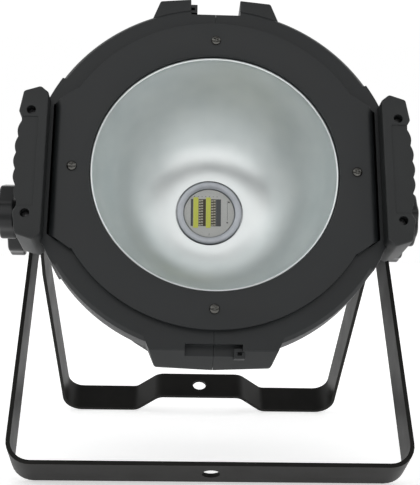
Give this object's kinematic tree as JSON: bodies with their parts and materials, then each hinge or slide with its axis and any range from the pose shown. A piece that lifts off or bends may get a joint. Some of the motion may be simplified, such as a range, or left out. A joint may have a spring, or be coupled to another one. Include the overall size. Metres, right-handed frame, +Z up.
{
  "type": "par can light",
  "caption": "Round LED stage light with a deep reflector, side grips and a double bracket clamped by four side knobs.",
  "frame": {"origin": "middle of the underside of the whole light as it stands on the edges of its two brackets", "axes": "+Z up, the beam leaves towards -Y and 16.5 degrees upwards, +X to the right seen from the front"},
  "size_m": [0.342, 0.329, 0.3562],
  "materials": {
    "black_housing": "satin black moulded plastic",
    "black_bezel": "black powder-coated sheet metal",
    "grip_rubber": "matte black soft-touch plastic",
    "bracket_paint": "black powder coat",
    "knob_plastic": "semi-gloss black plastic",
    "rubber_black": "black rubber",
    "black_part": "matte black",
    "steel": "zinc-plated",
    "screw_steel": "bright pan head",
    "black_screw": "black oxide",
    "aluminium": "plain",
    "reflector_metal": "bright satin anodised",
    "brass": "turned",
    "ceramic": "white ceramic with a yellow phosphor field",
    "display_glass": "dark display window",
    "fan_plastic": "black"
  },
  "bodies": {
    "head": {"front_bezel_plate": "black_bezel", "bezel_screw_top": "screw_steel", "bezel_screw_bottom": "screw_steel", "bezel_screw_left": "screw_steel", "bezel_screw_right": "screw_steel", "flange_screw_left": "black_screw", "flange_screw_right": "black_screw", "housing_right": "black_housing", "housing_left": "black_housing", "grip_right": "grip_rubber", "grip_left": "grip_rubber", "grip_screw_right_top": "black_screw", "grip_screw_left_top": "black_screw", "grip_screw_right_bottom": "black_screw", "grip_screw_left_bottom": "black_screw", "reflector": "reflector_metal", "reflector_gasket": "rubber_black", "emitter_clamp_ring": "aluminium", "cob_emitter": "ceramic", "emitter_board": "aluminium", "heatsink": "aluminium", "inner_chassis": "aluminium", "power_supply": "aluminium", "led_driver": "aluminium", "rear_cover": "black_housing", "fan_frame": "fan_plastic", "fan_grille": "steel", "control_panel": "black_part", "display_window": "display_glass", "power_inlet": "black_part", "power_outlet": "black_part", "dmx_inlet": "steel", "dmx_outlet": "steel", "fuse_holder": "black_part", "safety_eyelet": "steel", "pivot_insert_front_right": "brass", "inner_washer_front_right": "rubber_black", "pivot_insert_front_left": "brass", "inner_washer_front_left": "rubber_black", "pivot_insert_rear_right": "brass", "inner_washer_rear_right": "rubber_black", "pivot_insert_rear_left": "brass", "inner_washer_rear_left": "rubber_black"},
    "front_bracket": {"front_bracket": "bracket_paint"},
    "rear_bracket": {"rear_bracket": "bracket_paint"},
    "fan_rotor": {"fan_rotor": "fan_plastic"},
    "dmx_latch": {"dmx_latch": "black_part"},
    "fuse_cap": {"fuse_cap": "knob_plastic"},
    "button_1": {"button_1": "black_part"},
    "button_2": {"button_2": "black_part"},
    "button_3": {"button_3": "black_part"},
    "button_4": {"button_4": "black_part"},
    "washer_front_right": {"outer_washer_front_right": "steel"},
    "knob_front_right": {"knob_front_right": "knob_plastic"},
    "washer_front_left": {"outer_washer_front_left": "steel"},
    "knob_front_left": {"knob_front_left": "knob_plastic"},
    "washer_rear_right": {"outer_washer_rear_right": "steel"},
    "knob_rear_right": {"knob_rear_right": "knob_plastic"},
    "washer_rear_left": {"outer_washer_rear_left": "steel"},
    "knob_rear_left": {"knob_rear_left": "knob_plastic"}
  },
  "joints": [
    {"name": "front_bracket_swing", "type": "hinge", "parent": "head", "child": "front_bracket", "pos_m": [0, -0.0241, 0.1916], "axis": [1, 0, 0], "range_deg": [-24, 30]},
    {"name": "rear_bracket_swing", "type": "hinge", "parent": "head", "child": "rear_bracket", "pos_m": [0, 0.02192, 0.17797], "axis": [1, 0, 0], "range_deg": [-26, 150]},
    {"name": "washer_front_right_travel", "type": "slide", "parent": "head", "child": "washer_front_right", "axis": [1, 0, 0], "range_m": [0, 0.0025]},
    {"name": "knob_front_right_turn", "type": "hinge", "parent": "washer_front_right", "child": "knob_front_right", "pos_m": [0.165, -0.0241, 0.1916], "axis": [1, 0, 0], "range_deg": [0, 720]},
    {"name": "washer_front_left_travel", "type": "slide", "parent": "head", "child": "washer_front_left", "axis": [-1, 0, 0], "range_m": [0, 0.0025]},
    {"name": "knob_front_left_turn", "type": "hinge", "parent": "washer_front_left", "child": "knob_front_left", "pos_m": [-0.165, -0.0241, 0.1916], "axis": [-1, 0, 0], "range_deg": [0, 720]},
    {"name": "washer_rear_right_travel", "type": "slide", "parent": "head", "child": "washer_rear_right", "axis": [1, 0, 0], "range_m": [0, 0.0025]},
    {"name": "knob_rear_right_turn", "type": "hinge", "parent": "washer_rear_right", "child": "knob_rear_right", "pos_m": [0.165, 0.02192, 0.17797], "axis": [1, 0, 0], "range_deg": [0, 720]},
    {"name": "washer_rear_left_travel", "type": "slide", "parent": "head", "child": "washer_rear_left", "axis": [-1, 0, 0], "range_m": [0, 0.0025]},
    {"name": "knob_rear_left_turn", "type": "hinge", "parent": "washer_rear_left", "child": "knob_rear_left", "pos_m": [-0.165, 0.02192, 0.17797], "axis": [-1, 0, 0], "range_deg": [0, 720]},
    {"name": "fan_spin", "type": "hinge", "parent": "head", "child": "fan_rotor", "pos_m": [0, 0.06795, 0.16434], "axis": [0, 0.9588, -0.284], "continuous": true},
    {"name": "button_1_press", "type": "slide", "parent": "head", "child": "button_1", "axis": [0, -0.9588, 0.284], "range_m": [0, 0.0012], "stiffness_N_per_m": 400, "springref_m": -0.0005},
    {"name": "button_2_press", "type": "slide", "parent": "head", "child": "button_2", "axis": [0, -0.9588, 0.284], "range_m": [0, 0.0012], "stiffness_N_per_m": 400, "springref_m": -0.0005},
    {"name": "button_3_press", "type": "slide", "parent": "head", "child": "button_3", "axis": [0, -0.9588, 0.284], "range_m": [0, 0.0012], "stiffness_N_per_m": 400, "springref_m": -0.0005},
    {"name": "button_4_press", "type": "slide", "parent": "head", "child": "button_4", "axis": [0, -0.9588, 0.284], "range_m": [0, 0.0012], "stiffness_N_per_m": 400, "springref_m": -0.0005},
    {"name": "dmx_latch_press", "type": "slide", "parent": "head", "child": "dmx_latch", "axis": [0, -0.9588, 0.284], "range_m": [0, 0.0015], "stiffness_N_per_m": 400, "springref_m": -0.0005},
    {"name": "fuse_cap_turn", "type": "hinge", "parent": "head", "child": "fuse_cap", "pos_m": [0, 0.06213, 0.07428], "axis": [0, 0.9588, -0.284], "range_deg": [0, 90]}
  ],
  "couplings": [
    {"joint": "washer_front_right_travel", "follows": "knob_front_right_turn", "m_per_rad": 0.00019894},
    {"joint": "washer_front_left_travel", "follows": "knob_front_left_turn", "m_per_rad": 0.00019894},
    {"joint": "washer_rear_right_travel", "follows": "knob_rear_right_turn", "m_per_rad": 0.00019894},
    {"joint": "washer_rear_left_travel", "follows": "knob_rear_left_turn", "m_per_rad": 0.00019894}
  ]
}
